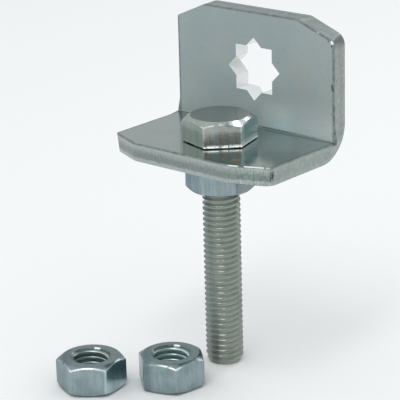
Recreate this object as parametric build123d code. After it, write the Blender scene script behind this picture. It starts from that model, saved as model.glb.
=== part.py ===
from build123d import *
import os
from math import cos, radians, sin, sqrt, tan

# Adjustable angle bracket: an angle plate held between a bolt's head and a clamp nut,
# with two adjusting nuts standing beside the bolt's end.
# The bolt's axis is Z. The origin is on it, level with the clamp nut's lower face.
# X runs along the plate's width, and the upright leg stands on the +Y side.

# Angle plate, one strip of thick sheet, punched and then bent square
plate_width = 52.0
plate_thickness = 5.0
foot_depth = 34.8               # front edge to the upright leg's outer face
upright_height = 36.0           # foot's underside to the middle of the upright leg's top edge
upright_end_lean = 0.1          # its outer face ends higher than the middle, and its inner face lower
inner_bend_radius = 0.4
outer_bend_radius = 9.5

# Slanting corners, along the width and along their leg. The upright's two differ a little
foot_corners = (10.0, 4.2)
left_corner = (9.6, 4.2)
right_corner_inside = (11.8, 4.4)
right_corner_outside = (10.4, 4.0)
end_rounding = 4.0              # where a slanting corner meets the leg's end
inner_side_rounding = 0.8       # where it meets the leg's side, on the inner face
outer_side_rounding = 3.6       # and on the outer face, drawn rounder by the punch
edge_roll = 0.45                # outer face's edges, drawn round as the blank was punched

# Holes in the plate
bolt_hole_clearance = 0.25      # round the thread, on the radius
bolt_hole_to_front = 15.5       # hole's centre to the foot's front edge
star_side = 12.0                # the star is two equal squares, one turned by 45 degrees
star_height = 20.6              # star's centre above the foot's underside

# Hexagon bolt, threaded up to its head
thread_radius = 5.0
thread_pitch = 1.5
bolt_length = 61.5              # under the head to the end
head_across_flats = 17.0
head_height = 6.8               # with the washer face
head_flat_radius = 7.6          # round flat on top, inside the chamfer
washer_face_height = 0.3
washer_face_radius = 7.8
bolt_end_radius = 4.1
bolt_end_taper = 1.6            # length of the tapered end
head_turn = 44.9                # direction of one corner, in degrees from +X

# Nuts, the clamp nut and the two adjusting nuts alike outside
nut_across_flats = 16.0
nut_height = 8.4
nut_flat_radius = 7.4           # round flat on each face, inside the chamfer
countersink_width = 0.4         # past the thread, on the radius
countersink_angle = 60.0        # between the countersink's wall and the nut's axis
running_clearance = 0.05        # clamp nut over the thread, on the radius
clamp_nut_turn = 41.3

# Adjusting nuts, where they stand
right_nut_gap = 6.2             # from the thread to the nut's corner circle
right_nut_bearing = -92.8       # direction from the bolt's axis, in degrees from +X
right_nut_turn = 19.4
left_nut_gap = 2.4              # between the two nuts' corner circles
left_nut_bearing = -137.9       # direction from the right nut's axis
left_nut_turn = 38.3

# Corners of the head and of every nut
hexagon_chamfer_angle = 30.0    # from the flat face

# Levels and places that follow
foot_underside = nut_height
foot_top = foot_underside + plate_thickness
front_edge = -bolt_hole_to_front
upright_outer = front_edge + foot_depth
upright_inner = upright_outer - plate_thickness
upright_top = foot_underside + upright_height
bolt_end = foot_top - bolt_length
nut_corner_radius = nut_across_flats / sqrt(3)

# A 60 degree thread: its mid-flank radius, and the radius of the hole tapped for it
thread_mid_radius = thread_radius - 0.3248 * thread_pitch
tapping_radius = thread_radius - 0.5 * thread_pitch


def bent_strip():
    """Square-cornered plate: an L drawn from the side and extruded over the width."""
    corners = [
        (front_edge, foot_underside),
        (upright_outer, foot_underside),
        (upright_outer, upright_top + upright_end_lean),
        (upright_inner, upright_top + upright_end_lean),
        (upright_inner, foot_top),
        (front_edge, foot_top),
    ]
    profile = make_face(Polyline(*corners, close=True))
    outside = profile.vertices().sort_by_distance(corners[1])[0]
    profile = fillet(outside, outer_bend_radius)
    inside = profile.vertices().sort_by_distance(corners[4])[0]
    profile = fillet(inside, inner_bend_radius)
    return extrude(Plane.YZ * profile, plate_width / 2, both=True)


def leg_outline(length, first_corner, last_corner, side_rounding):
    """A leg seen square on, from the bend's outside (Y = 0) to its slanting corners."""
    side = plate_width / 2
    slants = [
        (-side, length - first_corner[1]),
        (-side + first_corner[0], length),
        (side - last_corner[0], length),
        (side, length - last_corner[1]),
    ]
    outline = make_face(Polyline((-side, 0), *slants, (side, 0), close=True))
    at_end = [v for v in outline.vertices() if v.Y > length - 1]
    outline = fillet(at_end, end_rounding)
    at_sides = [v for v in outline.vertices() if v.Y > 0 and abs(v.X) > side - 0.001]
    return fillet(at_sides, side_rounding)


def leg_block(outer_plane, reach, outer_size, inner_size):
    """Room for one leg: its corners are rounder on the outer face than on the inner one."""
    inner_plane = outer_plane.offset(-plate_thickness)
    outer_outline = outer_plane * leg_outline(*outer_size, outer_side_rounding)
    inner_outline = inner_plane * leg_outline(*inner_size, inner_side_rounding)
    return loft([outer_outline, inner_outline], ruled=True) + extrude(inner_outline, -reach)


def rim(faces):
    """Edges round a group of faces, without those that two of the faces share."""
    edges = [edge for face in faces for edge in face.edges()]
    return [edge for edge in edges if sum(edge.is_same(other) for other in edges) == 1]


def angle_plate():
    bend_line = (0, upright_outer, foot_underside)
    from_below = Plane(bend_line, x_dir=(1, 0, 0), z_dir=(0, 0, -1))
    from_behind = Plane(bend_line, x_dir=(-1, 0, 0), z_dir=(0, 1, 0))
    foot_size = (foot_depth, foot_corners, foot_corners)
    foot = leg_block(from_below, upright_height, foot_size, foot_size)
    # The upright is drawn from behind, so its right corner comes first
    outside = (upright_height + upright_end_lean, right_corner_outside, left_corner)
    inside = (upright_height - upright_end_lean, right_corner_inside, left_corner)
    upright = leg_block(from_behind, foot_depth, outside, inside)
    plate = bent_strip() & foot & upright

    outer_skin = [
        plate.faces().sort_by(Axis.Z)[0],
        plate.faces().sort_by(Axis.Y)[-1],
        plate.faces().sort_by_distance(bend_line)[0],
    ]
    plate = fillet(rim(outer_skin), edge_roll)

    hole_radius = thread_radius + bolt_hole_clearance
    bolt_hole = Pos(0, 0, foot_underside) * extrude(Circle(hole_radius), plate_thickness)
    square = Rectangle(star_side, star_side)
    star = square + Rot(0, 0, 45) * square
    star_plane = Plane((0, upright_inner, foot_underside + star_height), x_dir=(1, 0, 0), z_dir=(0, 1, 0))
    return plate - bolt_hole - extrude(star_plane * star, plate_thickness)


def turned(*outline):
    """A body of revolution about Z, from (radius, height) points."""
    return revolve(Plane.XZ * make_face(Polyline(*outline, close=True)), Axis.Z)


def chamfered_hexagon(across_flats, height, turn, flat_radius, both_faces):
    """A hexagon prism, its corners turned off outside the round flat on top, or on both faces."""
    prism = extrude(RegularPolygon(across_flats / 2, 6, major_radius=False, rotation=turn), height)
    past_corners = 0.6 * across_flats
    fall = (past_corners - flat_radius) * tan(radians(hexagon_chamfer_angle))
    upper = [(0, height), (flat_radius, height), (past_corners, height - fall)]
    lower = [(past_corners, fall), (flat_radius, 0)] if both_faces else [(past_corners, 0)]
    return prism & turned(*upper, *lower, (0, 0))


def hex_bolt():
    washer_face = Pos(0, 0, foot_top) * extrude(Circle(washer_face_radius), washer_face_height)
    hexagon_height = head_height - washer_face_height
    head = chamfered_hexagon(head_across_flats, hexagon_height, head_turn, head_flat_radius, False)
    # The plate and the clamp nut hide the upper thread, which is drawn at its mid-flank radius
    shank = turned(
        (0, bolt_end),
        (bolt_end_radius, bolt_end),
        (thread_radius, bolt_end + bolt_end_taper),
        (thread_radius, 0),
        (thread_mid_radius, 0),
        (thread_mid_radius, foot_top),
        (0, foot_top),
    )
    return shank + washer_face + Pos(0, 0, foot_top + washer_face_height) * head


def nut(bore_radius, turn):
    """A nut on the XY plane, chamfered and countersunk on both faces."""
    body = chamfered_hexagon(nut_across_flats, nut_height, turn, nut_flat_radius, True)
    mouth_radius = thread_radius + countersink_width
    mouth_depth = (mouth_radius - bore_radius) / tan(radians(countersink_angle))
    bore = turned(
        (0, 0),
        (mouth_radius, 0),
        (bore_radius, mouth_depth),
        (bore_radius, nut_height - mouth_depth),
        (mouth_radius, nut_height),
        (0, nut_height),
    )
    return body - bore


def step(distance, bearing):
    """A step across the ground, in a direction given in degrees from +X."""
    return Pos(distance * cos(radians(bearing)), distance * sin(radians(bearing)), 0)


def adjusting_nuts():
    """The right nut beside the bolt's end, and the left nut beside the right one."""
    from_bolt = thread_radius + right_nut_gap + nut_corner_radius
    right_place = Pos(0, 0, bolt_end) * step(from_bolt, right_nut_bearing)
    left_place = right_place * step(2 * nut_corner_radius + left_nut_gap, left_nut_bearing)
    right = right_place * nut(tapping_radius, right_nut_turn)
    left = left_place * nut(tapping_radius, left_nut_turn)
    return left, right


left_nut, right_nut = adjusting_nuts()
pieces = {
    "angle_plate": angle_plate(),
    "hex_bolt": hex_bolt(),
    "clamp_nut": nut(thread_radius + running_clearance, clamp_nut_turn),
    "adjusting_nut_left": left_nut,
    "adjusting_nut_right": right_nut,
}

os.makedirs("parts", exist_ok=True)
for name, solid in pieces.items():
    export_step(solid, f"parts/{name}.step")
    print(f"{name}: {solid.volume:.1f} mm3, centre {tuple(round(v, 2) for v in solid.center())}")
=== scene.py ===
from math import cos, exp, hypot, pi, radians, sin, tan

import bmesh
import bpy
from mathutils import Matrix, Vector


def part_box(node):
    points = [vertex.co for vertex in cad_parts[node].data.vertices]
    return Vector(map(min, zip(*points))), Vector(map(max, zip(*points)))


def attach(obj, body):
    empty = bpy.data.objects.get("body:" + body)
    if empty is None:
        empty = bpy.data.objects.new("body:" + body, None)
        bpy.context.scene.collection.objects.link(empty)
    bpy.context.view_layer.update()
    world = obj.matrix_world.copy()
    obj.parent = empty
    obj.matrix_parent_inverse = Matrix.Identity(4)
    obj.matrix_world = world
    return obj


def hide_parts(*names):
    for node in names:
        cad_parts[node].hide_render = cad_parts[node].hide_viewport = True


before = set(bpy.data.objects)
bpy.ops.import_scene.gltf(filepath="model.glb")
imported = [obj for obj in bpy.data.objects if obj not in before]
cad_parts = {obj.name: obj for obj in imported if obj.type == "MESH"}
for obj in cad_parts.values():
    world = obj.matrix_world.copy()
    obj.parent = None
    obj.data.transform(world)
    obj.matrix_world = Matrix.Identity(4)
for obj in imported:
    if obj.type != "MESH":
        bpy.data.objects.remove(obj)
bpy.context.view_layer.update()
mm = 0.001

# Sizes are in millimetres and angles in degrees. The bolt's axis is Z, the plate's width
# runs along X, and the upright leg stands on the +Y side

cameraView = {
    "aim": (-0.935, -7.411, -1.338),
    "azimuth": 41.12,
    "elevation": 18.63,
    "roll": -1.57,
    "distance": 483.88,
    "lens": 168.63,
    "sensorWidth": 36,
}


def addCamera(view):
    data = bpy.data.cameras.new("photoCamera")
    data.sensor_width = view["sensorWidth"]
    data.lens = view["lens"]
    camera = bpy.data.objects.new("photoCamera", data)
    bpy.context.scene.collection.objects.link(camera)
    azimuth, elevation, roll = (radians(view[k]) for k in ("azimuth", "elevation", "roll"))
    back = Vector((sin(azimuth) * cos(elevation), -cos(azimuth) * cos(elevation), sin(elevation)))
    level = Vector((cos(azimuth), sin(azimuth), 0))
    upright = back.cross(level)
    right = cos(roll) * level + sin(roll) * upright
    up = cos(roll) * upright - sin(roll) * level
    place = (Vector(view["aim"]) + view["distance"] * back) * mm
    matrix = camera.matrix_world.copy()
    for column, axis in enumerate((right, up, back, place)):
        matrix.col[column][:3] = axis
    camera.matrix_world = matrix
    bpy.context.scene.camera = camera


# Shader maths

class Shade:
    # one output of a shader node, so that maths on it reads as Python

    def __init__(self, nodes, socket):
        self.nodes = nodes
        self.socket = socket

    def maths(self, operation, first, second=0.0):
        return self.nodes.node("Math", {"operation": operation}, {0: first, 1: second})

    def __add__(self, other):
        return self.maths("ADD", self, other)

    def __sub__(self, other):
        return self.maths("SUBTRACT", self, other)

    def __rsub__(self, other):
        return self.maths("SUBTRACT", other, self)

    def __mul__(self, other):
        return self.maths("MULTIPLY", self, other)

    def __abs__(self):
        return self.maths("ABSOLUTE", self)

    def least(self, other):
        return self.maths("MINIMUM", self, other)

    def most(self, other):
        return self.maths("MAXIMUM", self, other)

    __radd__ = __add__
    __rmul__ = __mul__


class Nodes:
    # the node tree of a material or of the sky

    def __init__(self, tree):
        self.tree = tree

    def node(self, kind, settings=None, sockets=None, output=0):
        made = self.tree.nodes.new("ShaderNode" + kind)
        for key, value in (settings or {}).items():
            if key == "stops":
                while len(made.color_ramp.elements) < len(value):
                    made.color_ramp.elements.new(0.5)
                for element, (position, colour) in zip(made.color_ramp.elements, value):
                    element.position = position
                    element.color = (*colour, 1)
            else:
                setattr(made, key, value)
        for key, value in (sockets or {}).items():
            self.feed(made.inputs[key], value)
        return Shade(self, made.outputs[output])

    def feed(self, socket, value):
        if isinstance(value, Shade):
            self.tree.links.new(value.socket, socket)
        elif socket.type == "RGBA":
            socket.default_value = (*value, 1)
        else:
            socket.default_value = value

    def vectorMaths(self, operation, first, second=(0, 0, 0)):
        return self.node("VectorMath", {"operation": operation}, {0: first, 1: second}, "Value")

    def between(self, value, low, high):
        # 0 at low, 1 at high and smooth between
        settings = {"interpolation_type": "SMOOTHSTEP"}
        return self.node("MapRange", settings, {"Value": value, "From Min": low, "From Max": high})

    def band(self, value, low, full, fall, end):
        # 1 from full to fall, and 0 below low and above end
        return self.between(value, low, full) * self.between(value, end, fall)

    def mix(self, factor, first, second):
        return self.node("Mix", {"data_type": "RGBA"}, {0: factor, 6: first, 7: second}, 2)

    def fade(self, factor, first, second):
        return self.node("Mix", {"data_type": "FLOAT"}, {0: factor, 2: first, 3: second}, 0)

    def shade(self, colour, by):
        settings = {"data_type": "RGBA", "blend_type": "MULTIPLY"}
        return self.node("Mix", settings, {0: 1, 6: colour, 7: by}, 2)

    def tint(self, colour, mask, by):
        # multiplies the colour where the mask is 1
        return self.shade(colour, self.mix(mask, (1, 1, 1), by))


class Finish(Nodes):
    # a surface finish: its material, its nodes and the place on the piece in mm

    def __init__(self, name):
        self.material = bpy.data.materials.new(name)
        self.material.use_nodes = True
        super().__init__(self.material.node_tree)
        self.shader = self.tree.nodes["Principled BSDF"]
        coordinates = self.node("TexCoord", output="Object")
        self.place = self.node("Mapping", {}, {"Vector": coordinates, "Scale": (1 / mm,) * 3})
        self.x, self.y, self.z = (self.node("SeparateXYZ", {}, {0: self.place}, axis) for axis in "XYZ")

    def noise(self, width, detail, stretch=(1, 1, 1)):
        # width is a patch's rough size, and stretch makes patches longer along an axis
        scale = tuple(1 / (width * s) for s in stretch)
        return self.noiseAt(self.node("Mapping", {}, {"Vector": self.place, "Scale": scale}), detail)

    def noiseAt(self, place, detail):
        return self.node("TexNoise", {}, {"Vector": place, "Scale": 1.0, "Detail": detail})

    def patches(self, width, detail, low, high, strength=1.0, stretch=(1, 1, 1)):
        # a mask of patches where the noise goes from low to high
        return self.between(self.noise(width, detail, stretch), low, high) * strength

    def region(self, ranges):
        # a mask of the place: axis: (where it begins, where it is full)
        mask = 1.0
        for axis, (begins, full) in ranges.items():
            mask = mask * self.between(getattr(self, axis), begins, full)
        return mask

    def along(self, direction, centre=(0, 0)):
        # how far the place lies from the centre in a level direction
        return (self.x - centre[0]) * direction[0] + (self.y - centre[1]) * direction[1]

    def fromAxis(self, centre=(0, 0)):
        across = self.node("CombineXYZ", {}, {0: self.x - centre[0], 1: self.y - centre[1]})
        return self.vectorMaths("LENGTH", across)

    def fromPoint(self, point):
        return self.vectorMaths("DISTANCE", self.place, point)

    def bump(self, height, strength, distance):
        sockets = {"Height": height, "Strength": strength, "Distance": distance * mm}
        return self.node("Bump", {}, sockets)

    def wear(self, colour, roughness, metallic, normal=None):
        self.feed(self.shader.inputs["Base Color"], colour)
        self.feed(self.shader.inputs["Roughness"], roughness)
        self.feed(self.shader.inputs["Metallic"], metallic)
        if normal:
            self.feed(self.shader.inputs["Normal"], normal)
        return self.material


# In the finishes below, a noise is (width, detail, stretch), and patches are (width, detail,
# noise where they begin, noise where they are full, strength, stretch). Of a mask, two numbers
# are where it begins and where it is full, and four are where it begins, is full, falls and ends

hexagonShine = {
    # beyond the flat or the corner, and below the cone of the chamfer
    "chamferAcross": (-0.4, -0.26),
    "chamferBelow": (0.31, 0.16),
    "cornerAcross": (-0.35, -0.15),
    "cornerBelow": (0.1, 0.5),
    "lightSide": (0.574, -0.819),
    "lit": (7.3, 7.8),
    "unlitShare": 0.25,
}


def hexagonEdges(finish, look, sizes, centre, turn, top):
    # masks for the painted highlights on the edges between the upper chamfer and the flats, and on the
    # upright edges
    flats = []
    for side in (30, 90, 150):
        bearing = radians(turn + side)
        flats.append(abs(finish.along((cos(bearing), sin(bearing)), centre)))
    greatest = flats[0].most(flats[1]).most(flats[2])
    least = flats[0].least(flats[1]).least(flats[2])
    middle = flats[0] + flats[1] + flats[2] - greatest - least
    outside = sizes["acrossFlats"] / 2
    fall = (finish.fromAxis(centre) - sizes["flatRadius"]) * tan(radians(sizes["chamferAngle"]))
    belowCone = top - finish.z - fall
    chamfer = finish.between(greatest - outside, *look["chamferAcross"])
    chamfer = chamfer * finish.between(belowCone, *look["chamferBelow"])
    # the chamfer's edges are brightest where they face the light at the front left
    lit = finish.between(finish.along(look["lightSide"], centre), *look["lit"])
    chamfer = chamfer * (look["unlitShare"] + (1 - look["unlitShare"]) * lit)
    corners = finish.between(middle - outside, *look["cornerAcross"])
    corners = corners * finish.between(belowCone, *look["cornerBelow"])
    return chamfer, corners


# Shapes

def everythingIn(bm):
    return bm.verts[:] + bm.edges[:] + bm.faces[:]


def turned(bm, outline, steps):
    # a body of revolution about Z from (radius, height) points
    corners = [bm.verts.new((radius * mm, 0, height * mm)) for radius, height in outline]
    edges = [bm.edges.new(pair) for pair in zip(corners, corners[1:])]
    bmesh.ops.spin(bm, geom=corners + edges, axis=(0, 0, 1), angle=2 * pi, steps=steps, use_merge=True)
    bmesh.ops.remove_doubles(bm, verts=bm.verts, dist=0.001 * mm)


def cut(bm, place, direction, close=True):
    # cuts off what lies beyond a plane, and closes the opening
    found = bmesh.ops.bisect_plane(
        bm, geom=everythingIn(bm), dist=0.0005 * mm, plane_co=place, plane_no=direction, clear_outer=True
    )
    rim = [edge for edge in found["geom_cut"] if isinstance(edge, bmesh.types.BMEdge)]
    if close:
        bmesh.ops.edgeloop_fill(bm, edges=rim)
    return rim


def breakEdges(bm, sizes):
    # rounds every edge that is sharper than an angle
    sharperThan = radians(sizes["creaseAngle"])
    sharp = [edge for edge in bm.edges if edge.is_manifold and edge.calc_face_angle() > sharperThan]
    bmesh.ops.bevel(
        bm, geom=sharp, offset=sizes["edgeRounding"] * mm, offset_type="OFFSET",
        segments=sizes["roundingSteps"], profile=0.5, affect="EDGES", clamp_overlap=True, material=-1,
    )


def addPart(bm, part, materialIndex):
    # moves another shape into this one, with its own material
    for face in part.faces:
        face.material_index = materialIndex
    mesh = bpy.data.meshes.new("part")
    part.to_mesh(mesh)
    part.free()
    bm.from_mesh(mesh)
    bpy.data.meshes.remove(mesh)


def finishedPiece(bm, name, materials, body, node, smoothAngle=28):
    mesh = bpy.data.meshes.new(name)
    bm.to_mesh(mesh)
    bm.free()
    for material in materials:
        mesh.materials.append(material)
    mesh.shade_smooth()
    mesh.set_sharp_from_angle(angle=radians(smoothAngle))
    piece = bpy.data.objects.new(name, mesh)
    bpy.context.scene.collection.objects.link(piece)
    weighted = piece.modifiers.new("evenShading", "WEIGHTED_NORMAL")
    weighted.keep_sharp = True
    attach(piece, body)
    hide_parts(node)
    print(name, len(mesh.polygons), "faces")


# Angle plate

sheetFinish = {
    "colour": (0.43, 0.49, 0.475),
    "darkColour": (0.40, 0.465, 0.455),
    "darkPatches": (9, 3, 0.35, 0.65),
    "teal": (0.38, 0.49, 0.49),
    "tealPatches": (11, 2, 0.56, 0.75, 0.5),
    "brown": (0.46, 0.45, 0.39),
    "brownPatches": (11, 2, 0.42, 0.25, 0.4),
    "tintsAndPaintedShade": {
        # place on the foot: (radius, tint)
        (14.9, -11.4, 13.4): (1.8, (2.1, 1.35, 0.85)),
        (11.3, -12.3, 13.4): (1.3, (1.6, 1.25, 0.95)),
        (16.8, -8.0, 13.4): (2.8, (1.04, 1.36, 1.42)),
        (22.0, -9.0, 13.4): (2.5, (1.05, 1.1, 0.9)),
        # painted shade: darker where the foot mirrors the upright
        (21.5, -2.5, 13.4): (8.0, (0.8, 0.8, 0.8)),
    },
    "spotCore": 0.3,               # share of a spot's radius where it is full
    "upright": {"z": (13.5, 14.2)},
    "blueTint": (0.97, 1.0, 1.035),
    "greenTint": (1.01, 1.01, 0.97),
    "greenPatches": (7, 3, 0.35, 0.65),
    "specks": (0.7, 2, 0.66, 0.76, 0.4),
    "uprightShade": (0.79, 0.80, 0.82),
    "lowUprightPaintedLight": (1.19, 1.2, 1.24),
    "lowUpright": {"z": (25, 14), "x": (-12, 2)},
    "behindHeadPaintedLight": (1.25, 1.25, 1.25),
    "behindHeadLevel": {"z": (23, 17)},
    "behindHeadX": 7,
    "behindHeadWidth": (7, 2),
    # the inner face's edges, a slanting one as its normal and its distance from the origin
    "sideEdge": 26,
    "topEdge": 44.3,
    "topRightEdge": (0.349, 0.937, 46.46),
    "frontEdge": -15.5,
    "footCornerEdge": (0.387, -0.922, 20.48),
    "burrShadeWidth": (0.65, 0.35),
    "burrShadeBeads": (1.8, 3, 0.42, 0.62, 0.3),
    "footBurrShadeShare": 0.35,
    "uprightBurrShadeShare": 0.6,
    "speckAndShadeColour": (0.14, 0.17, 0.17),
    "burrShadeBlobs": (2.4, 1, 0.62, 0.68),
    "burrShadeBlobRegion": {"x": (0, 5)},
    "burrShadeBlobWidth": (1.0, 0.7),
    "burrShadeColour": (0.08, 0.1, 0.1),
    "sparkHighlights": (0.7, 1, 0.71, 0.75),
    "sparkHighlightWidth": (1.1, 0.8),
    "sparkHighlightColour": (0.95, 0.97, 0.96),
    "cornerHighlight": (25.5, 14.3, 39.6),
    "cornerHighlightRadius": (0.7, 0.35),
    "bend": (14.3, 13.4),
    "bendWidth": (0.42, 0.18),
    "bendShadeStrength": 0.9,
    "footMetallic": 1.0,
    "uprightMetallic": 0.12,
    "footRoughness": 0.16,
    "uprightRoughness": 0.5,
    "dullness": (4, 3),
    "dullSpread": 0.08,
    "grain": (0.35, 3),
    "grainSpread": 0.05,
    "grainHeight": 0.25,
    "waves": (2.6, 2),
    "bump": (0.1, 0.02),            # strength and depth
}


def zincSheet(look):
    # the upright leg is dull, and the foot polished like a soft mirror
    finish = Finish("zinc_sheet")
    upright = finish.region(look["upright"])
    colour = finish.mix(finish.patches(*look["darkPatches"]), look["colour"], look["darkColour"])
    colour = finish.mix(finish.patches(*look["tealPatches"]), colour, look["teal"])
    colour = finish.mix(finish.patches(*look["brownPatches"]), colour, look["brown"])
    # tinted spots near the foot's front edge, and painted shade on the foot's right where it mirrors the
    # upright
    for place, (radius, tint) in look["tintsAndPaintedShade"].items():
        spotMask = finish.between(finish.fromPoint(place), radius, radius * look["spotCore"])
        colour = finish.tint(colour, spotMask, tint)
    cloudy = finish.mix(finish.patches(*look["greenPatches"]), look["blueTint"], look["greenTint"])
    colour = finish.tint(colour, upright, cloudy)
    colour = finish.mix(finish.patches(*look["specks"]), colour, look["speckAndShadeColour"])
    # painted light: the upright is lighter near the foot and behind the head, which makes up for the head's
    # shade there
    low = finish.region(look["lowUpright"])
    shade = finish.mix(low, look["uprightShade"], look["lowUprightPaintedLight"])
    lightBehindHead = finish.between(abs(finish.x - look["behindHeadX"]), *look["behindHeadWidth"])
    lightBehindHead = lightBehindHead * finish.region(look["behindHeadLevel"])
    shade = finish.tint(shade, lightBehindHead, look["behindHeadPaintedLight"])
    colour = finish.tint(colour, upright, shade)
    # painted shade: a dark broken line along the burr round the inner face, which shows most on the upright
    sides = look["sideEdge"] - abs(finish.x)
    slantX, slantZ, reach = look["topRightEdge"]
    topRight = reach - finish.x * slantX - finish.z * slantZ
    uprightRim = sides.least(look["topEdge"] - finish.z).least(topRight)
    slantX, slantY, reach = look["footCornerEdge"]
    footCorners = reach - abs(finish.x) * slantX - finish.y * slantY
    footRim = sides.least(finish.y - look["frontEdge"]).least(footCorners)
    toRim = finish.fade(upright, footRim, uprightRim)
    burrShade = finish.fade(upright, look["footBurrShadeShare"], look["uprightBurrShadeShare"])
    burrShade = (burrShade + finish.patches(*look["burrShadeBeads"])) * finish.between(toRim, *look["burrShadeWidth"])
    colour = finish.mix(burrShade, colour, look["speckAndShadeColour"])
    # darker blobs of painted shade along the upright's inner edge
    burrShadeBlobs = finish.patches(*look["burrShadeBlobs"]) * upright * finish.region(look["burrShadeBlobRegion"])
    burrShadeBlobs = burrShadeBlobs * finish.between(toRim, *look["burrShadeBlobWidth"])
    colour = finish.mix(burrShadeBlobs, colour, look["burrShadeColour"])
    # painted highlights: bright specks along the upright's right corner, and a bright spot there
    sparkHighlights = finish.patches(*look["sparkHighlights"]) * upright * finish.between(topRight, *look["sparkHighlightWidth"])
    colour = finish.mix(sparkHighlights, colour, look["sparkHighlightColour"])
    cornerHighlight = finish.between(finish.fromPoint(look["cornerHighlight"]), *look["cornerHighlightRadius"])
    colour = finish.mix(cornerHighlight, colour, look["sparkHighlightColour"])
    # painted shade along the inner bend
    fromBend = abs(finish.y - look["bend"][0]) + abs(finish.z - look["bend"][1])
    creaseShade = finish.between(fromBend, *look["bendWidth"]) * look["bendShadeStrength"]
    colour = finish.mix(creaseShade, colour, look["speckAndShadeColour"])
    grain = finish.noise(*look["grain"])
    roughness = finish.fade(upright, look["footRoughness"], look["uprightRoughness"])
    roughness = roughness + look["dullSpread"] * (finish.noise(*look["dullness"]) - 0.5)
    roughness = roughness + look["grainSpread"] * (grain - 0.5)
    metallic = finish.fade(upright, look["footMetallic"], look["uprightMetallic"])
    height = look["grainHeight"] * grain + finish.noise(*look["waves"])
    return finish.wear(colour, roughness, metallic, finish.bump(height, *look["bump"]))


edgeFinish = {
    "underside": 8.4,
    "outerFace": 19.3,
    "thickness": 5.0,
    "colour": (0.31, 0.35, 0.335),
    "bandHighlightColour": (0.40, 0.45, 0.43),
    "darkColour": (0.235, 0.27, 0.257),
    "bands": [
        # share of the thickness from the outer face, and the colour there
        (0.0, "colour"),
        (0.06, "bandHighlightColour"),
        (0.2, "bandHighlightColour"),
        (0.28, "darkColour"),
        (0.52, "darkColour"),
        (0.66, "colour"),
        (0.85, "bandHighlightColour"),
        (0.97, "colour"),
    ],
    "streakSkew": 0.7,              # how far the streaks follow Y as well as X
    "streakScale": (0.16, 0.16, 1.4),
    "streakDetail": 3,
    "streakSpread": 0.16,
    "blotches": (1.3, 3),
    "blotchSpread": 0.12,
    "side": {"x": (25, 26)},
    "aboveFoot": {"z": (14, 16)},
    "evenColour": (0.27, 0.305, 0.29),
    "evenLightColour": (0.335, 0.38, 0.362),
    "evenLightBlotches": (0.3, 0.7),
    "evenStreaks": (0.45, 0.65),
    "evenStreakShare": 0.7,
    "evenShare": 0.85,
    "sidePaintedLight": (1.13, 1.13, 1.13),
    "slant": {"x": (14.5, 17), "z": (37, 39.5)},
    "slantPaintedShade": (0.76, 0.76, 0.76),
    "flecks": (0.5, 3, 0.3, 0.7, 1.0, (1, 1, 2)),
    "darkFlecks": (0.9, 0.9, 0.9),
    "lightFlecks": (1.1, 1.1, 1.1),
    "tornRegion": {"x": (13, 21), "y": (-10, -12)},
    "tornDarkFlecks": (0.74, 0.79, 0.77),
    "tornLightFlecks": (1.16, 1.22, 1.19),
    "burrShadeAcross": (4.45, 4.7),
    "burrShadeBreaks": (1.8, 3, 0.42, 0.62, 0.5),
    "burrShadeShare": 0.4,
    "burrShadeColour": (0.13, 0.155, 0.15),
    "shineRegion": {"x": (15, 16), "y": (-11, -12)},
    "shineAcross": (4.6, 4.72),
    "shineBreaks": (1.6, 3, 0.4, 0.5),
    "shineHighlightColour": (0.95, 0.97, 0.96),
    "footCorner": (26.0, -11.1),
    "cornerLineWidth": (1.0, 0.6),
    "cornerLineAcross": (0.9, 1.4, 2.8, 4.5),
    "cornerLineBlotches": (0.3, 0.5),
    "cornerLineColour": (0.06, 0.065, 0.065),
    "metallic": 0.75,
    "roughness": 0.36,
    "roughnessSpread": 0.22,
    "starLevel": 29.0,
    "starRadius": (9.0, 8.7),
    "starPaintedLightColour": (0.92, 0.94, 0.93),
    "starMetallic": 0.3,
    "starRoughness": 0.16,
    "blotchHeight": 0.5,
    "bump": (0.3, 0.05),
}


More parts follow.
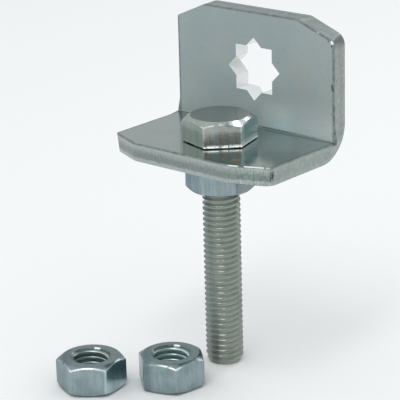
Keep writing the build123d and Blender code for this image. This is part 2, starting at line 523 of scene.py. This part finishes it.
def zincPunchedEdge(look):
    # sheared metal: across runs from 0 at the outer face to the thickness at the inner face
    finish = Finish("zinc_punched_edge")
    across = (finish.z - look["underside"]).least(look["outerFace"] - finish.y)
    lengthways, upwards, inwards = look["streakScale"]
    streakPlace = finish.node("CombineXYZ", {}, {
        0: (finish.x + look["streakSkew"] * finish.y) * lengthways,
        1: finish.z * upwards,
        2: across * inwards,
    })
    streaks = finish.noiseAt(streakPlace, look["streakDetail"])
    blotches = finish.noise(*look["blotches"])
    shifted = across * (1 / look["thickness"]) + look["streakSpread"] * (streaks - 0.5)
    shifted = shifted + look["blotchSpread"] * (blotches - 0.5)
    # a painted highlight in a bright band where the punch drew the foot's front edge round, a dull band
    # above, and another painted highlight near the inner face
    stops = [(share, look[name]) for share, name in look["bands"]]
    colour = finish.node("ValToRGB", {"stops": stops}, {0: shifted})
    # the sides and the upright's edges are plainer
    lightBlotches = finish.between(blotches, *look["evenLightBlotches"])
    evenColour = finish.mix(lightBlotches, look["evenColour"], look["evenLightColour"])
    darkStreaks = finish.between(streaks, *look["evenStreaks"]) * look["evenStreakShare"]
    evenColour = finish.mix(darkStreaks, evenColour, look["evenColour"])
    side = finish.region(look["side"])
    even = side.most(finish.region(look["aboveFoot"])) * look["evenShare"]
    colour = finish.mix(even, colour, evenColour)
    # painted light on the sides, and painted shade on the upright's slanting edge
    colour = finish.tint(colour, side, look["sidePaintedLight"])
    colour = finish.tint(colour, finish.region(look["slant"]), look["slantPaintedShade"])
    rough = finish.region(look["tornRegion"])
    darkFlecks = finish.mix(rough, look["darkFlecks"], look["tornDarkFlecks"])
    lightFlecks = finish.mix(rough, look["lightFlecks"], look["tornLightFlecks"])
    flecks = finish.patches(*look["flecks"])
    colour = finish.shade(colour, finish.mix(flecks, darkFlecks, lightFlecks))
    # painted shade in a dark broken line along the inner face, and a painted highlight along it at the
    # foot's right corner
    burrShade = finish.patches(*look["burrShadeBreaks"]) + look["burrShadeShare"]
    burrShade = burrShade * finish.between(across, *look["burrShadeAcross"])
    colour = finish.mix(burrShade, colour, look["burrShadeColour"])
    shineHighlight = finish.region(look["shineRegion"]) * finish.between(across, *look["shineAcross"])
    shineHighlight = shineHighlight * finish.patches(*look["shineBreaks"])
    colour = finish.mix(shineHighlight, colour, look["shineHighlightColour"])
    # a dark line down the foot's right front corner
    cornerX, cornerY = look["footCorner"]
    fromCorner = abs(finish.x - cornerX) + abs(finish.y - cornerY)
    darkCornerLine = finish.between(fromCorner, *look["cornerLineWidth"]) * finish.band(across, *look["cornerLineAcross"])
    darkCornerLine = darkCornerLine * finish.between(blotches, *look["cornerLineBlotches"])
    colour = finish.mix(darkCornerLine, colour, look["cornerLineColour"])
    # painted light: the star hole's walls are near white
    starAcross = finish.node("CombineXYZ", {}, {0: finish.x, 1: finish.z - look["starLevel"]})
    inStar = finish.between(finish.vectorMaths("LENGTH", starAcross), *look["starRadius"])
    colour = finish.mix(inStar, colour, look["starPaintedLightColour"])
    roughness = look["roughness"] + look["roughnessSpread"] * (streaks - 0.5)
    roughness = finish.fade(inStar, roughness, look["starRoughness"])
    metallic = finish.fade(inStar, look["metallic"], look["starMetallic"])
    height = streaks + look["blotchHeight"] * blotches
    return finish.wear(colour, roughness, metallic, finish.bump(height, *look["bump"]))


plateSizes = {
    "width": 52,
    "footTop": 13.4,
    "uprightInner": 14.3,
    "edgeRounding": 0.14,
    "creaseAngle": 35,
    "roundingSteps": 2,
    "innerBend": (14.3, 13.4),
    "outerBend": (16.5, 11.2),
    "bulge": 0.95,
    "bulgeSpread": 1.9,
    "drawIn": 0.35,
    "drawInSpread": 2.2,
    "sideDepth": 1.2,               # how far from a side the sheet swells or draws in
    "slices": {
        # direction: levels at which the sides near the bend are cut finer
        (0, 1, 0): (10, 11.5, 12.7, 13.6, 14.6, 16, 17.4),
        (0, 0, 1): (9.8, 11.2, 12.6, 13.8, 14.8, 16, 17.6),
    },
    "flatWithin": 0.5,              # angle under which two of the source's triangles are one face
    # a side's normal points along X by at least the first share, and a punched edge's normal
    # points square to its leg by at most the second
    "sideNormal": 0.7,
    "edgeNormal": 0.6,
}


def anglePlate(sizes):
    # the source's plate with its sharp edges broken, and its sides swollen and drawn in at the bend
    bm = bmesh.new()
    bm.from_mesh(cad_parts["angle_plate"].data)
    bmesh.ops.remove_doubles(bm, verts=bm.verts, dist=0.002 * mm)
    bmesh.ops.dissolve_limit(
        bm, angle_limit=radians(sizes["flatWithin"]), verts=bm.verts, edges=bm.edges,
        use_dissolve_boundaries=False,
    )
    for direction, levels in sizes["slices"].items():
        for level in levels:
            place = Vector(direction) * level * mm
            bmesh.ops.bisect_plane(
                bm, geom=everythingIn(bm), dist=0.001 * mm, plane_co=place, plane_no=direction
            )
    for vertex in bm.verts:
        fromSide = sizes["width"] / 2 - abs(vertex.co.x) / mm
        if fromSide < sizes["sideDepth"]:
            y, z = vertex.co.y / mm, vertex.co.z / mm
            inner = hypot(y - sizes["innerBend"][0], z - sizes["innerBend"][1]) / sizes["bulgeSpread"]
            outer = hypot(y - sizes["outerBend"][0], z - sizes["outerBend"][1]) / sizes["drawInSpread"]
            swell = sizes["bulge"] * exp(-inner * inner / 2) - sizes["drawIn"] * exp(-outer * outer / 2)
            vertex.co.x += swell * mm if vertex.co.x > 0 else -swell * mm
    breakEdges(bm, sizes)
    for face in bm.faces:
        y = face.calc_center_median().y / mm
        z = face.calc_center_median().z / mm
        onFoot = y < sizes["uprightInner"] - 0.5 and z < sizes["footTop"] + 0.01
        onUpright = z > sizes["footTop"] + 0.5 and not onFoot
        sideways = abs(face.normal.x) > sizes["sideNormal"]
        footEdge = onFoot and abs(face.normal.z) < sizes["edgeNormal"]
        uprightEdge = onUpright and abs(face.normal.y) < sizes["edgeNormal"]
        face.material_index = 1 if sideways or footEdge or uprightEdge else 0
    materials = [zincSheet(sheetFinish), zincPunchedEdge(edgeFinish)]
    finishedPiece(bm, "zinc_angle_plate", materials, "angle_plate", "angle_plate", 30)


# Threads

threadSizes = {
    "radius": 5.0,
    "rootRadius": 4.2,
    "pitch": 1.5,
    "flankAngle": 30,
    "crestHalfWidth": 0.094,
    "stepsPerTurn": 72,
    "pitchesBelowEnd": 1.5,         # the winding starts this far below the bolt's end
    "spareTurns": 3,
    # rounding of the root and the crest: (out from it, along the axis)
    "rootRounding": [(0.02, -0.02), (0.09, 0.05)],
    "crestRounding": [(-0.07, -0.04), (-0.015, 0.01), (0, 0.05)],
}


def threadOutline(thread, inner, outer, halfWidth, innerRounding, outerRounding):
    # one pitch of a thread from (radius, height) points, with its outer radius in the middle
    pitch = thread["pitch"]
    foot = halfWidth + (outer - inner) * tan(radians(thread["flankAngle"]))
    lower = [(inner, 0)]
    lower += [(inner + out, pitch / 2 - foot + up) for out, up in innerRounding]
    lower += [(outer + out, pitch / 2 - halfWidth + up) for out, up in outerRounding]
    upper = [(radius, pitch - height) for radius, height in reversed(lower)]
    return lower + upper


def threadSurface(bm, outline, thread, start, turns):
    # one pitch of the thread's outline, wound round the axis
    pitch = thread["pitch"]
    steps = thread["stepsPerTurn"]
    corners = [bm.verts.new((radius * mm, 0, (start + height) * mm)) for radius, height in outline]
    edges = [bm.edges.new(pair) for pair in zip(corners, corners[1:])]
    bmesh.ops.spin(
        bm, geom=corners + edges, axis=(0, 0, 1), dvec=(0, 0, pitch / steps * mm), angle=2 * pi, steps=steps
    )
    oneTurn = everythingIn(bm)
    for turn in range(1, turns):
        copied = bmesh.ops.duplicate(bm, geom=oneTurn)["geom"]
        movedUp = [part for part in copied if isinstance(part, bmesh.types.BMVert)]
        bmesh.ops.translate(bm, verts=movedUp, vec=(0, 0, turn * pitch * mm))
    bmesh.ops.remove_doubles(bm, verts=bm.verts, dist=0.002 * mm)


def chamferCone(sizes):
    # how far past the corners the chamfer's cone is drawn, and how far it has fallen there
    beyond = sizes["conePast"] * sizes["acrossFlats"]
    fall = (beyond - sizes["flatRadius"]) * tan(radians(sizes["chamferAngle"]))
    return beyond, fall


def hexagonOutside(sizes, turn, outline):
    # a turned body with six flats cut on it, and its edges slightly rounded
    bm = bmesh.new()
    turned(bm, outline, sizes["steps"])
    for side in range(6):
        bearing = radians(turn + 30 + 60 * side)
        direction = Vector((cos(bearing), sin(bearing), 0))
        cut(bm, direction * sizes["acrossFlats"] / 2 * mm, direction)
    bmesh.ops.recalc_face_normals(bm, faces=bm.faces)
    breakEdges(bm, sizes)
    return bm


# Bolt

boltSizes = {
    "end": -48.1,
    "endRadius": 4.1,
    "endTaper": 1.6,
    "footTop": 13.4,
    "intoHead": 0.2,
    "headHeight": 6.8,
    "headTurn": 44.9,
    "acrossFlats": 17.0,
    "flatRadius": 7.6,
    "chamferAngle": 30,
    "conePast": 0.62,
    "washerHeight": 0.3,
    "washerRadius": 7.8,
    "edgeRounding": 0.2,
    "creaseAngle": 20,
    "roundingSteps": 3,
    "steps": 96,
    "lips": {
        # bearing of a flat from the turn: how far its lower edge flares out
        -90: 0.3,
        -30: 0.14,
    },
    "lipHeight": 0.62,
    "lipSlices": (0.3, 0.5, 0.7, 0.85, 1),
    "lipDepth": 0.12,               # how far inside the flat the flare reaches
    "lipFade": 0.1,
}

boltFinish = {
    "colour": (0.40, 0.435, 0.405),
    "darkColour": (0.36, 0.395, 0.375),
    "darkPatches": (5, 3, 0.38, 0.65),
    "drawnFaces": {"z": (18.8, 17.4)},
    "brown": (0.37, 0.34, 0.30),
    "brownLines": (1.3, 2, 0.5, 0.62, 0.8, (1, 1, 12)),
    "teal": (0.33, 0.42, 0.43),
    "tealLines": (1.3, 2, 0.44, 0.32, 0.7, (1, 1, 12)),
    "edgeHighlightColour": (0.66, 0.7, 0.67),
    "edgeBreaks": (1.5, 2, 0.42, 0.58),
    "cornerHighlightShare": 0.6,
    # the flats at the front and at the right
    "frontFlat": (0.706, -0.708),
    "rightFlat": (0.966, 0.257),
    "flatDistance": (8.2, 8.4),
    "rightFlatLightColour": (0.62, 0.75, 0.76),
    "rightFlatLightShare": 0.8,
    "alongRightFlat": (-0.257, 0.966),
    "flatHighlightStrip": (-2.4, -4.2),
    "flatHighlightColour": (0.93, 0.99, 0.99),
    "shadedTopOfFlat": {"z": (16.6, 17.8)},
    "topOfFlatAlong": (-4.2, -3),
    "topOfFlatPaintedShade": (0.6, 0.66, 0.66),
    # painted highlight on the lip under the front and right flats
    "boltHighlightColour": (0.97, 0.99, 0.98),
    "lipLevel": {"z": (14.5, 14.3)},
    "lipDents": (0.8, 2, 0.41, 0.47),
    "lightLevel": {"z": (15.8, 14.5)},
    "lightShare": 0.55,
    "rightLipLevel": {"z": (14.15, 14.0)},
    "rightLipShare": 0.35,
    "lipMetallic": 0.35,
    # places across the head, from its middle to the right
    "rightwards": (0.753, 0.658),
    "chamferX": {"x": (5.0, 5.5)},
    "chamferBelowTop": (1.3, 0.9),
    "chamferRadius": (7.6, 7.75),
    "glint": (3.3, 3.8, 6.8, 7.4),
    "besideGlint": (1.0, 2.0, 3.3, 3.8),
    "besideGlintPaintedShade": (0.55, 0.55, 0.55),
    "shadedLeftSide": (-3.6, -4.8),
    "leftPaintedShade": (0.87, 0.93, 0.9),
    "topBelow": (0.12, 0.04),
    "topDullness": 0.06,
    "topEnd": (3.7, 4.5),
    "topEndPaintedShade": (0.66, 0.68, 0.68),
    "roughness": 0.22,
    "lines": (0.45, 3, (1, 1, 14)),
    "lineSpread": 0.2,
    "lineHeight": 0.06,
    "pits": (0.4, 2),
    "pitHeight": 0.02,
    "bump": (1.0, 1.0),
}


def zincBolt(look, sizes):
    # a drawn head: a smooth top, and faces with fine upright lines and a lip below, with painted highlights
    # and shade
    finish = Finish("zinc_bolt_head")
    colour = finish.mix(finish.patches(*look["darkPatches"]), look["colour"], look["darkColour"])
    faces = finish.region(look["drawnFaces"])
    colour = finish.mix(finish.patches(*look["brownLines"]) * faces, colour, look["brown"])
    colour = finish.mix(finish.patches(*look["tealLines"]) * faces, colour, look["teal"])
    # painted light on the right flat, a painted highlight strip on its left part, and painted shade at its
    # top
    onRight = finish.between(finish.along(look["rightFlat"]), *look["flatDistance"])
    colour = finish.mix(onRight * look["rightFlatLightShare"], colour, look["rightFlatLightColour"])
    along = finish.along(look["alongRightFlat"])
    flatHighlight = onRight * finish.between(along, *look["flatHighlightStrip"])
    colour = finish.mix(flatHighlight, colour, look["flatHighlightColour"])
    shadedTopOfFlat = onRight * finish.region(look["shadedTopOfFlat"]) * finish.between(along, *look["topOfFlatAlong"])
    colour = finish.tint(colour, shadedTopOfFlat, look["topOfFlatPaintedShade"])
    top = sizes["footTop"] + sizes["headHeight"]
    edges, corners = hexagonEdges(finish, hexagonShine, sizes, (0, 0), sizes["headTurn"], top)
    # painted highlights on the upright corners and the chamfer's edges
    colour = finish.mix(corners * look["cornerHighlightShare"], colour, look["edgeHighlightColour"])
    colour = finish.mix(edges * finish.patches(*look["edgeBreaks"]), colour, look["edgeHighlightColour"])
    # painted highlight on the chamfer at the front right corner, and painted shade just to the left of that
    toTheRight = finish.along(look["rightwards"])
    belowTop = top - finish.z
    onChamfer = finish.between(belowTop, *look["chamferBelowTop"]) * finish.region(look["chamferX"])
    onChamfer = onChamfer * finish.between(finish.fromAxis(), *look["chamferRadius"])
    shadeBesideGlint = finish.band(toTheRight, *look["besideGlint"]) * onChamfer
    colour = finish.tint(colour, shadeBesideGlint, look["besideGlintPaintedShade"])
    glint = finish.band(toTheRight, *look["glint"]) * onChamfer
    colour = finish.mix(glint, colour, look["boltHighlightColour"])
    # painted highlight on the lip, and painted light on the right flat just above it
    onFront = finish.between(finish.along(look["frontFlat"]), *look["flatDistance"])
    frontLipHighlight = onFront * finish.region(look["lipLevel"]) * finish.patches(*look["lipDents"])
    colour = finish.mix(frontLipHighlight, colour, look["boltHighlightColour"])
    rightLipLight = look["lightShare"] * finish.region(look["lightLevel"])
    rightLipLight = rightLipLight + look["rightLipShare"] * finish.region(look["rightLipLevel"])
    rightLipLight = rightLipLight * onRight
    colour = finish.mix(rightLipLight, colour, look["boltHighlightColour"])
    # the top is duller; painted shade darkens the left side below the top, and the top towards its right
    # end
    onTop = finish.between(belowTop, *look["topBelow"])
    shadedLeftSide = finish.between(toTheRight, *look["shadedLeftSide"]) * (1 - onTop)
    colour = finish.tint(colour, shadedLeftSide, look["leftPaintedShade"])
    shadedRightEnd = finish.between(toTheRight, *look["topEnd"]) * onTop
    colour = finish.tint(colour, shadedRightEnd, look["topEndPaintedShade"])
    lines = finish.noise(*look["lines"])
    roughness = look["roughness"] + look["lineSpread"] * (lines - 0.5) * faces
    roughness = roughness + look["topDullness"] * onTop
    metallic = finish.fade(rightLipLight, 1.0, look["lipMetallic"])
    height = look["lineHeight"] * lines * faces + look["pitHeight"] * finish.noise(*look["pits"])
    return finish.wear(colour, roughness, metallic, finish.bump(height, *look["bump"]))


threadFinish = {
    "colour": (0.33, 0.365, 0.32),
    "darkColour": (0.275, 0.315, 0.29),
    "darkPatches": (3, 3, 0.45, 0.7),
    # places round the thread, towards its left side as the photograph shows it
    "leftwards": (-0.75, -0.66),
    "shadedLeftSide": (1.5, 4.5),
    "leftShadeColour": (0.18, 0.225, 0.215),
    "groove": (4.85, 4.5),
    "groovePaintedLight": (1.15, 1.15, 1.15),
    "lowShadeBand": (1.3, 2.0, 3.0, 4.0),
    "lowBandLevel": {"z": (-26, -46)},
    "lowBandPaintedShade": (0.64, 0.66, 0.65),
    "crestHighlightStrip": (-0.4, 0.1, 1.3, 1.8),
    "highlightCrest": (4.9, 4.97),
    "crestHighlightBreaks": (1.2, 2, 0.42, 0.55),
    "crestHighlightColour": (0.72, 0.76, 0.72),
    "metallic": 0.35,
    "roughness": 0.22,
    "grain": (0.3, 3),
    "grainSpread": 0.15,
    "bump": (0.2, 0.02),
}


def zincThread(look):
    finish = Finish("zinc_thread")
    colour = finish.mix(finish.patches(*look["darkPatches"]), look["colour"], look["darkColour"])
    # painted shade: the thread is darker and bluer on its left side
    toTheLeft = finish.along(look["leftwards"])
    colour = finish.mix(finish.between(toTheLeft, *look["shadedLeftSide"]), colour, look["leftShadeColour"])
    radius = finish.fromAxis()
    # painted light in the grooves
    colour = finish.tint(colour, finish.between(radius, *look["groove"]), look["groovePaintedLight"])
    # painted shade in a dark band towards the end, and painted highlights on the crests in a narrow strip
    # down the front
    lowShadeBand = finish.band(toTheLeft, *look["lowShadeBand"]) * finish.region(look["lowBandLevel"])
    colour = finish.tint(colour, lowShadeBand, look["lowBandPaintedShade"])
    crestHighlight = finish.band(toTheLeft, *look["crestHighlightStrip"]) * finish.between(radius, *look["highlightCrest"])
    crestHighlight = crestHighlight * finish.patches(*look["crestHighlightBreaks"])
    colour = finish.mix(crestHighlight, colour, look["crestHighlightColour"])
    grain = finish.noise(*look["grain"])
    roughness = look["roughness"] + look["grainSpread"] * (grain - 0.5)
    return finish.wear(colour, roughness, look["metallic"], finish.bump(grain, *look["bump"]))


def addLips(bm, sizes, level):
    # some flats flare out along their lower edge
    for share in sizes["lipSlices"]:
        place = (0, 0, (level + share * sizes["lipHeight"]) * mm)
        bmesh.ops.bisect_plane(
            bm, geom=everythingIn(bm), dist=0.0005 * mm, plane_co=place, plane_no=(0, 0, 1)
        )
    inner = sizes["acrossFlats"] / 2 - sizes["lipDepth"]
    for bearing, flare in sizes["lips"].items():
        angle = radians(sizes["headTurn"] + bearing)
        direction = Vector((cos(angle), sin(angle), 0))
        for vertex in bm.verts:
            share = 1 - (vertex.co.z / mm - level) / sizes["lipHeight"]
            onFlat = (vertex.co.dot(direction) / mm - inner) / sizes["lipFade"]
            # the washer face below the flats keeps its place
            if 0 < share < 1.01 and onFlat > 0:
                vertex.co += direction * flare * share ** 2 * min(onFlat, 1) * mm


def boltThread(sizes, thread):
    # the whole shank, with its crests cut down to the tapered end
    bm = bmesh.new()
    pitch = thread["pitch"]
    radius = thread["radius"]
    outline = threadOutline(
        thread, thread["rootRadius"], radius, thread["crestHalfWidth"],
        thread["rootRounding"], thread["crestRounding"],
    )
    turns = int((sizes["footTop"] - sizes["end"]) / pitch) + thread["spareTurns"]
    threadSurface(bm, outline, thread, sizes["end"] - thread["pitchesBelowEnd"] * pitch, turns)
    cut(bm, (0, 0, (sizes["footTop"] + sizes["intoHead"]) * mm), (0, 0, 1))
    rim = cut(bm, (0, 0, sizes["end"] * mm), (0, 0, -1), close=False)
    slope = (radius - sizes["endRadius"]) / sizes["endTaper"]
    for vertex in bm.verts:
        height = vertex.co.z / mm - sizes["end"]
        allowed = (sizes["endRadius"] + slope * height) * mm
        across = hypot(vertex.co.x, vertex.co.y)
        if across > allowed:
            vertex.co.xy = vertex.co.xy * (allowed / across)
    bmesh.ops.edgeloop_fill(bm, edges=rim)
    bmesh.ops.recalc_face_normals(bm, faces=bm.faces)
    return bm


def hexBolt(sizes, thread):
    bottom = sizes["footTop"]
    washerTop = bottom + sizes["washerHeight"]
    top = bottom + sizes["headHeight"]
    beyond, fall = chamferCone(sizes)
    outline = [
        (0, bottom),
        (sizes["washerRadius"], bottom),
        (sizes["washerRadius"], washerTop),
        (beyond, washerTop),
        (beyond, top - fall),
        (sizes["flatRadius"], top),
        (0, top),
    ]
    bolt = hexagonOutside(sizes, sizes["headTurn"], outline)
    addLips(bolt, sizes, washerTop)
    addPart(bolt, boltThread(sizes, thread), 1)
    materials = [zincBolt(boltFinish, sizes), zincThread(threadFinish)]
    finishedPiece(bolt, "threaded_bolt", materials, "bolt", "hex_bolt")


# Nuts

nutSizes = {
    "acrossFlats": 16.0,
    "height": 8.4,
    "flatRadius": 7.4,
    "chamferAngle": 30,
    "conePast": 0.62,
    "edgeRounding": 0.2,
    "creaseAngle": 20,
    "roundingSteps": 3,
    "steps": 96,
    "mouthRadius": 5.4,
    "mouthGap": 0.03,
    "countersinkAngle": 60,
    "innerRadius": 4.42,
    "threadGap": 0.04,
    "spareTurns": 4,
    # rounding of the thread's crest and groove: (out from it, along the axis)
    "crestRounding": [(0, -0.01), (0.04, 0.03)],
    "grooveRounding": [(-0.03, -0.02), (0, 0.03)],
}

nutTurns = {
    # node: (piece, body, turn, painted shade and light on its right flats, painted light on its thread)
    "clamp_nut": ("threaded_clamp_nut", "clamp_nut", 41.3, 0.68, 1.0),
    "adjusting_nut_left": ("threaded_nut_left", "bolt", 38.3, 1.5, 1.05),
    "adjusting_nut_right": ("threaded_nut_right", "bolt", 19.4, 1.0, 1.4),
}

nutFinish = {
    "colour": (0.315, 0.40, 0.415),
    "darkColour": (0.26, 0.335, 0.35),
    "darkPatches": (4.5, 3, 0.35, 0.65),
    "lilac": (0.325, 0.375, 0.43),
    "lilacPatches": (5, 2, 0.55, 0.7, 0.6),
    "rightwards": (0.753, 0.658),
    "rightFlats": (3.4, 3.9),
    "leftFlats": (-4.5, -6.5),
    "leftPaintedShade": (0.69, 0.73, 0.76),
    "faceBand": (1.1, 0.1),         # distance from an end face
    "endFaceShadeColour": (0.21, 0.285, 0.29),
    "cornerPaintedLight": (1.06, 1.06, 1.06),
    "edgeHighlightColour": (0.84, 0.9, 0.91),
    "edgeBreaks": (3, 2, 0.32, 0.5),
    "streaks": (0.7, 2, (1, 1, 8)),
    "streakEdges": (0.35, 0.65),
    "streakDark": (0.92, 0.92, 0.92),
    "streakLight": (1.07, 1.07, 1.07),
    "roughness": 0.24,
    "roughnessSpread": 0.1,
    "bump": (0.15, 0.03),
}

boreFinish = {
    "grooveShadeColour": (0.2, 0.27, 0.26),
    "crestLightColour": (0.5, 0.61, 0.6),
    "crest": (4.75, 4.5),
    "mouthShadeColour": (0.15, 0.2, 0.2),
    "mouthBand": (0.6, 0.45),       # distance from an end face
    "glintColour": (0.98, 1.0, 1.0),
    "glintSide": (-0.41, 0.91),
    "glintWidth": (0.11, 0.04),
    "roughness": 0.32,
    "grain": (0.3, 3),
    "grainSpread": 0.15,
    "bump": (0.15, 0.02),
}


def zincNut(look, sizes, name, centre, turn, rightFlatsPaintedShading):
    # painted shade on the two end faces, darker than the flats, and on the left flats; painted shade and
    # light on the right flats, painted light on the corners, and painted highlights on the chamfer's edges
    finish = Finish(name)
    colour = finish.mix(finish.patches(*look["darkPatches"]), look["colour"], look["darkColour"])
    colour = finish.mix(finish.patches(*look["lilacPatches"]), colour, look["lilac"])
    toTheRight = finish.along(look["rightwards"], centre)
    onRight = finish.between(toTheRight, *look["rightFlats"])
    colour = finish.tint(colour, onRight, (rightFlatsPaintedShading,) * 3)
    half = sizes["height"] / 2
    fromFace = half - abs(finish.z - centre.z)
    colour = finish.mix(finish.between(fromFace, *look["faceBand"]), colour, look["endFaceShadeColour"])
    colour = finish.tint(colour, finish.between(toTheRight, *look["leftFlats"]), look["leftPaintedShade"])
    edges, corners = hexagonEdges(finish, hexagonShine, sizes, centre, turn, centre.z + half)
    colour = finish.tint(colour, corners, look["cornerPaintedLight"])
    colour = finish.mix(edges * finish.patches(*look["edgeBreaks"]), colour, look["edgeHighlightColour"])
    streaks = finish.noise(*look["streaks"])
    light = finish.between(streaks, *look["streakEdges"])
    colour = finish.shade(colour, finish.mix(light, look["streakDark"], look["streakLight"]))
    roughness = look["roughness"] + look["roughnessSpread"] * (streaks - 0.5)
    return finish.wear(colour, roughness, 1.0, finish.bump(streaks, *look["bump"]))


def zincNutBore(look, sizes, name, centre, borePaintedLight):
    # painted shade in the grooves and the countersink's mouth, painted light on the crests, and a painted
    # highlight on the countersink's far side
    finish = Finish(name)
    radius = finish.fromAxis(centre)
    crest = finish.between(radius, *look["crest"])
    colour = finish.mix(crest, look["grooveShadeColour"], look["crestLightColour"])
    colour = finish.shade(colour, (borePaintedLight,) * 3)
    fromFace = sizes["height"] / 2 - abs(finish.z - centre.z)
    mouth = finish.between(fromFace, *look["mouthBand"])
    colour = finish.mix(mouth, colour, look["mouthShadeColour"])
    aside = radius - finish.along(look["glintSide"], centre)
    glint = mouth * finish.between(aside, *look["glintWidth"])
    colour = finish.mix(glint, colour, look["glintColour"])
    grain = finish.noise(*look["grain"])
    roughness = look["roughness"] + look["grainSpread"] * (grain - 0.5)
    return finish.wear(colour, roughness, 1.0, finish.bump(grain, *look["bump"]))


def nutBore(sizes, thread, start):
    # the thread inside a nut, with its crests cut back by the countersinks
    bm = bmesh.new()
    outline = threadOutline(
        thread, sizes["innerRadius"], thread["radius"] + sizes["threadGap"],
        thread["crestHalfWidth"] + sizes["threadGap"], sizes["crestRounding"], sizes["grooveRounding"],
    )
    turns = int(sizes["height"] / thread["pitch"]) + sizes["spareTurns"]
    threadSurface(bm, outline, thread, start, turns)
    cut(bm, (0, 0, sizes["height"] * mm), (0, 0, 1), close=False)
    cut(bm, (0, 0, 0), (0, 0, -1), close=False)
    slope = tan(radians(sizes["countersinkAngle"]))
    for vertex in bm.verts:
        height = vertex.co.z / mm
        depth = min(height, sizes["height"] - height)
        least = (sizes["mouthRadius"] - slope * depth) * mm
        across = hypot(vertex.co.x, vertex.co.y)
        if across < least:
            vertex.co.xy = vertex.co.xy * (least / across)
    return bm


def threadedNut(node, sizes, thread):
    name, body, turn, rightFlatsPaintedShading, borePaintedLight = nutTurns[node]
    low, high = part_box(node)
    centre = (low + high) / 2
    height = sizes["height"]
    beyond, fall = chamferCone(sizes)
    mouth = sizes["mouthRadius"] + sizes["mouthGap"]
    outline = [
        (mouth, 0),
        (sizes["flatRadius"], 0),
        (beyond, fall),
        (beyond, height - fall),
        (sizes["flatRadius"], height),
        (mouth, height),
    ]
    nut = hexagonOutside(sizes, turn, outline)
    # the clamp nut's thread is in step with the bolt's
    pitch = thread["pitch"]
    boltStart = boltSizes["end"] - thread["pitchesBelowEnd"] * pitch
    addPart(nut, nutBore(sizes, thread, (boltStart - low.z / mm) % pitch - 2 * pitch), 1)
    for level in (0, height * mm):
        openEdges = [edge for edge in nut.edges if edge.is_boundary]
        rims = [e for e in openEdges if all(abs(v.co.z - level) < 0.01 * mm for v in e.verts)]
        bmesh.ops.bridge_loops(nut, edges=rims)
    bmesh.ops.recalc_face_normals(nut, faces=nut.faces)
    bmesh.ops.translate(nut, verts=nut.verts, vec=(centre.x, centre.y, low.z))
    materials = [
        zincNut(nutFinish, sizes, f"zinc_{name}", centre / mm, turn, rightFlatsPaintedShading),
        zincNutBore(boreFinish, sizes, f"zinc_bore_{name}", centre / mm, borePaintedLight),
    ]
    finishedPiece(nut, name, materials, body, node)


# Studio

studio = {
    "floorLevel": -48.1,
    "floorSize": 4000,
    "floorColour": (0.94, 0.94, 0.94),
    "floorRoughness": 0.9,
    "skyColour": (0.96, 0.99, 1.0),
    "backSky": 0.5,
    "frontSky": 0.95,
    "front": (-0.25, -0.8, 0.55),
    "frontEdges": (-0.75, 0.75),
    "photographer": (0.62, -0.71, 0.32),
    "photographerEdges": (0.88, 0.99),
    "photographerShade": 0.6,
    "softboxes": {
        # name: (direction from the bolt, distance, width, depth, brightness)
        "backSoftbox": ((0.03, 0.50, 0.86), 700, 180, 150, 5.0),
        "lowBackSoftbox": ((-0.11, 0.83, 0.55), 900, 170, 200, 3.5),
        "frontSoftbox": ((0.12, -0.40, 0.91), 700, 360, 130, 5.0),
    },
}


def addFloor(setup):
    bm = bmesh.new()
    bmesh.ops.create_grid(bm, x_segments=1, y_segments=1, size=setup["floorSize"] / 2 * mm)
    bmesh.ops.translate(bm, verts=bm.verts, vec=(0, 0, setup["floorLevel"] * mm))
    mesh = bpy.data.meshes.new("floor")
    bm.to_mesh(mesh)
    bm.free()
    floor = bpy.data.objects.new("floor", mesh)
    bpy.context.scene.collection.objects.link(floor)
    paper = Finish("floor_paper")
    paper.shader.inputs["Specular IOR Level"].default_value = 0.0
    mesh.materials.append(paper.wear(setup["floorColour"], setup["floorRoughness"], 0.0))


def addSky(setup):
    # brighter in front and above, with the photographer's shade in it
    world = bpy.data.worlds.new("studioWorld")
    bpy.context.scene.world = world
    world.use_nodes = True
    sky = Nodes(world.node_tree)
    direction = sky.node("TexCoord", output="Generated")
    frontAndUp = sky.vectorMaths("DOT_PRODUCT", direction, setup["front"])
    bright = sky.fade(sky.between(frontAndUp, *setup["frontEdges"]), setup["backSky"], setup["frontSky"])
    aligned = sky.vectorMaths("DOT_PRODUCT", direction, setup["photographer"])
    shaded = sky.between(aligned, *setup["photographerEdges"]) * setup["photographerShade"]
    background = sky.tree.nodes["Background"]
    sky.feed(background.inputs["Color"], setup["skyColour"])
    sky.feed(background.inputs["Strength"], bright * (1 - shaded))


def addSoftboxes(setup):
    for name, (direction, distance, width, depth, brightness) in setup["softboxes"].items():
        data = bpy.data.lights.new(name, "AREA")
        data.shape = "RECTANGLE"
        data.size = width * mm
        data.size_y = depth * mm
        data.energy = brightness * pi * width * depth * mm * mm
        light = bpy.data.objects.new(name, data)
        bpy.context.scene.collection.objects.link(light)
        toLight = Vector(direction).normalized()
        light.location = toLight * distance * mm
        light.rotation_euler = toLight.to_track_quat("Z", "X").to_euler()


addCamera(cameraView)
addFloor(studio)
addSky(studio)
addSoftboxes(studio)
bpy.context.scene.view_settings.view_transform = "Standard"
print("studio ready")
anglePlate(plateSizes)
hexBolt(boltSizes, threadSizes)
for node in nutTurns:
    threadedNut(node, nutSizes, threadSizes)
